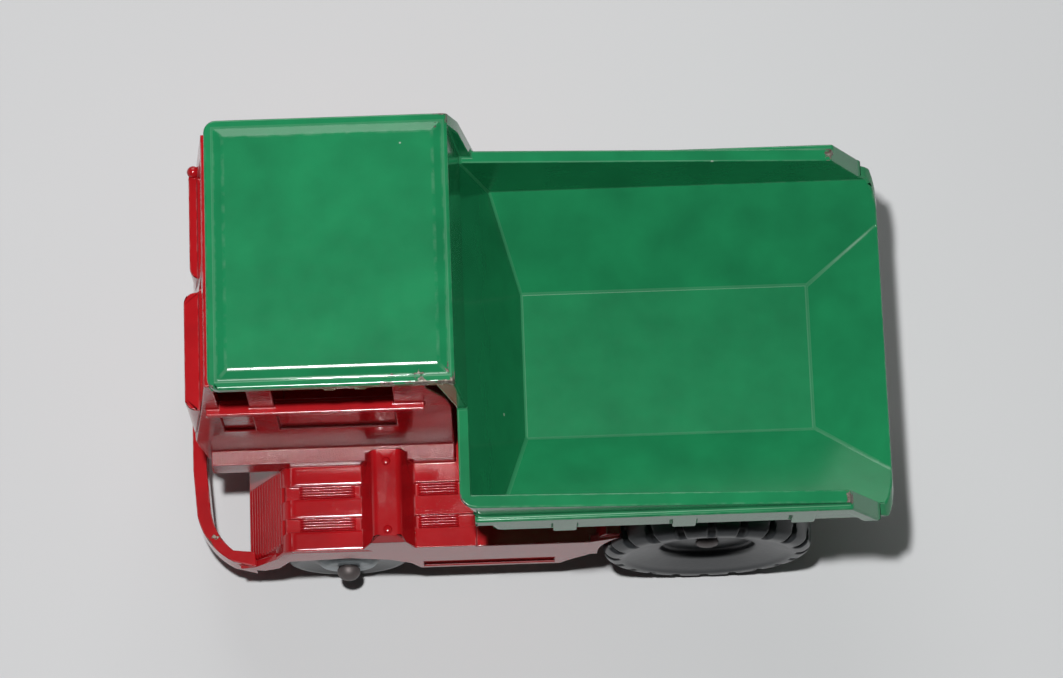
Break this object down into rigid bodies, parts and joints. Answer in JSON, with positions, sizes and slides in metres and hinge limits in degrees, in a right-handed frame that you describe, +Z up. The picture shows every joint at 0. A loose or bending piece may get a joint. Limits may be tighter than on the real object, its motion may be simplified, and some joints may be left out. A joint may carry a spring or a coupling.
{
  "type": "toy dump truck",
  "caption": "Pocket-size die-cast toy dump truck: half cab beside a bonnet, bumper loop, rolling wheels and a tipping tub with a canopy over the cab.",
  "frame": {"origin": "on the floor under the middle of the truck", "axes": "-X is the front, +Y the vehicle's right (cab side), +Z up"},
  "size_m": [0.0598, 0.032, 0.0385],
  "materials": {
    "red_enamel": "gloss",
    "green_enamel": "gloss",
    "wheel_plastic": "satin",
    "bare_steel": "satin"
  },
  "bodies": {
    "chassis": {"cab_chassis": "red_enamel", "base_plate": "bare_steel", "base_rivets": "bare_steel", "tipping_pin": "bare_steel"},
    "tipper": {"dump_body": "green_enamel"},
    "front_axle_bar": {"front_axle": "bare_steel"},
    "rear_axle_bar": {"rear_axle": "bare_steel"},
    "wheel_front_left": {"front_wheel_left": "wheel_plastic"},
    "wheel_front_right": {"front_wheel_right": "wheel_plastic"},
    "wheel_rear_left": {"rear_wheel_left": "wheel_plastic"},
    "wheel_rear_right": {"rear_wheel_right": "wheel_plastic"}
  },
  "joints": [
    {"name": "tip", "type": "hinge", "parent": "chassis", "child": "tipper", "pos_m": [0.02, 0, 0.01279], "axis": [0, 1, 0], "range_deg": [0, 55]},
    {"name": "front_axle_spin", "type": "hinge", "parent": "chassis", "child": "front_axle_bar", "pos_m": [-0.01665, 0, 0.0054], "axis": [0, 1, 0], "continuous": true},
    {"name": "rear_axle_spin", "type": "hinge", "parent": "chassis", "child": "rear_axle_bar", "pos_m": [0.0145, 0, 0.009], "axis": [0, 1, 0], "continuous": true},
    {"name": "wheel_front_left_spin", "type": "hinge", "parent": "chassis", "child": "wheel_front_left", "pos_m": [-0.01665, -0.0127, 0.0054], "axis": [0, 1, 0], "continuous": true},
    {"name": "wheel_front_right_spin", "type": "hinge", "parent": "chassis", "child": "wheel_front_right", "pos_m": [-0.01665, 0.0127, 0.0054], "axis": [0, 1, 0], "continuous": true},
    {"name": "wheel_rear_left_spin", "type": "hinge", "parent": "chassis", "child": "wheel_rear_left", "pos_m": [0.0145, -0.0138, 0.009], "axis": [0, 1, 0], "continuous": true},
    {"name": "wheel_rear_right_spin", "type": "hinge", "parent": "chassis", "child": "wheel_rear_right", "pos_m": [0.0145, 0.0138, 0.009], "axis": [0, 1, 0], "continuous": true}
  ]
}
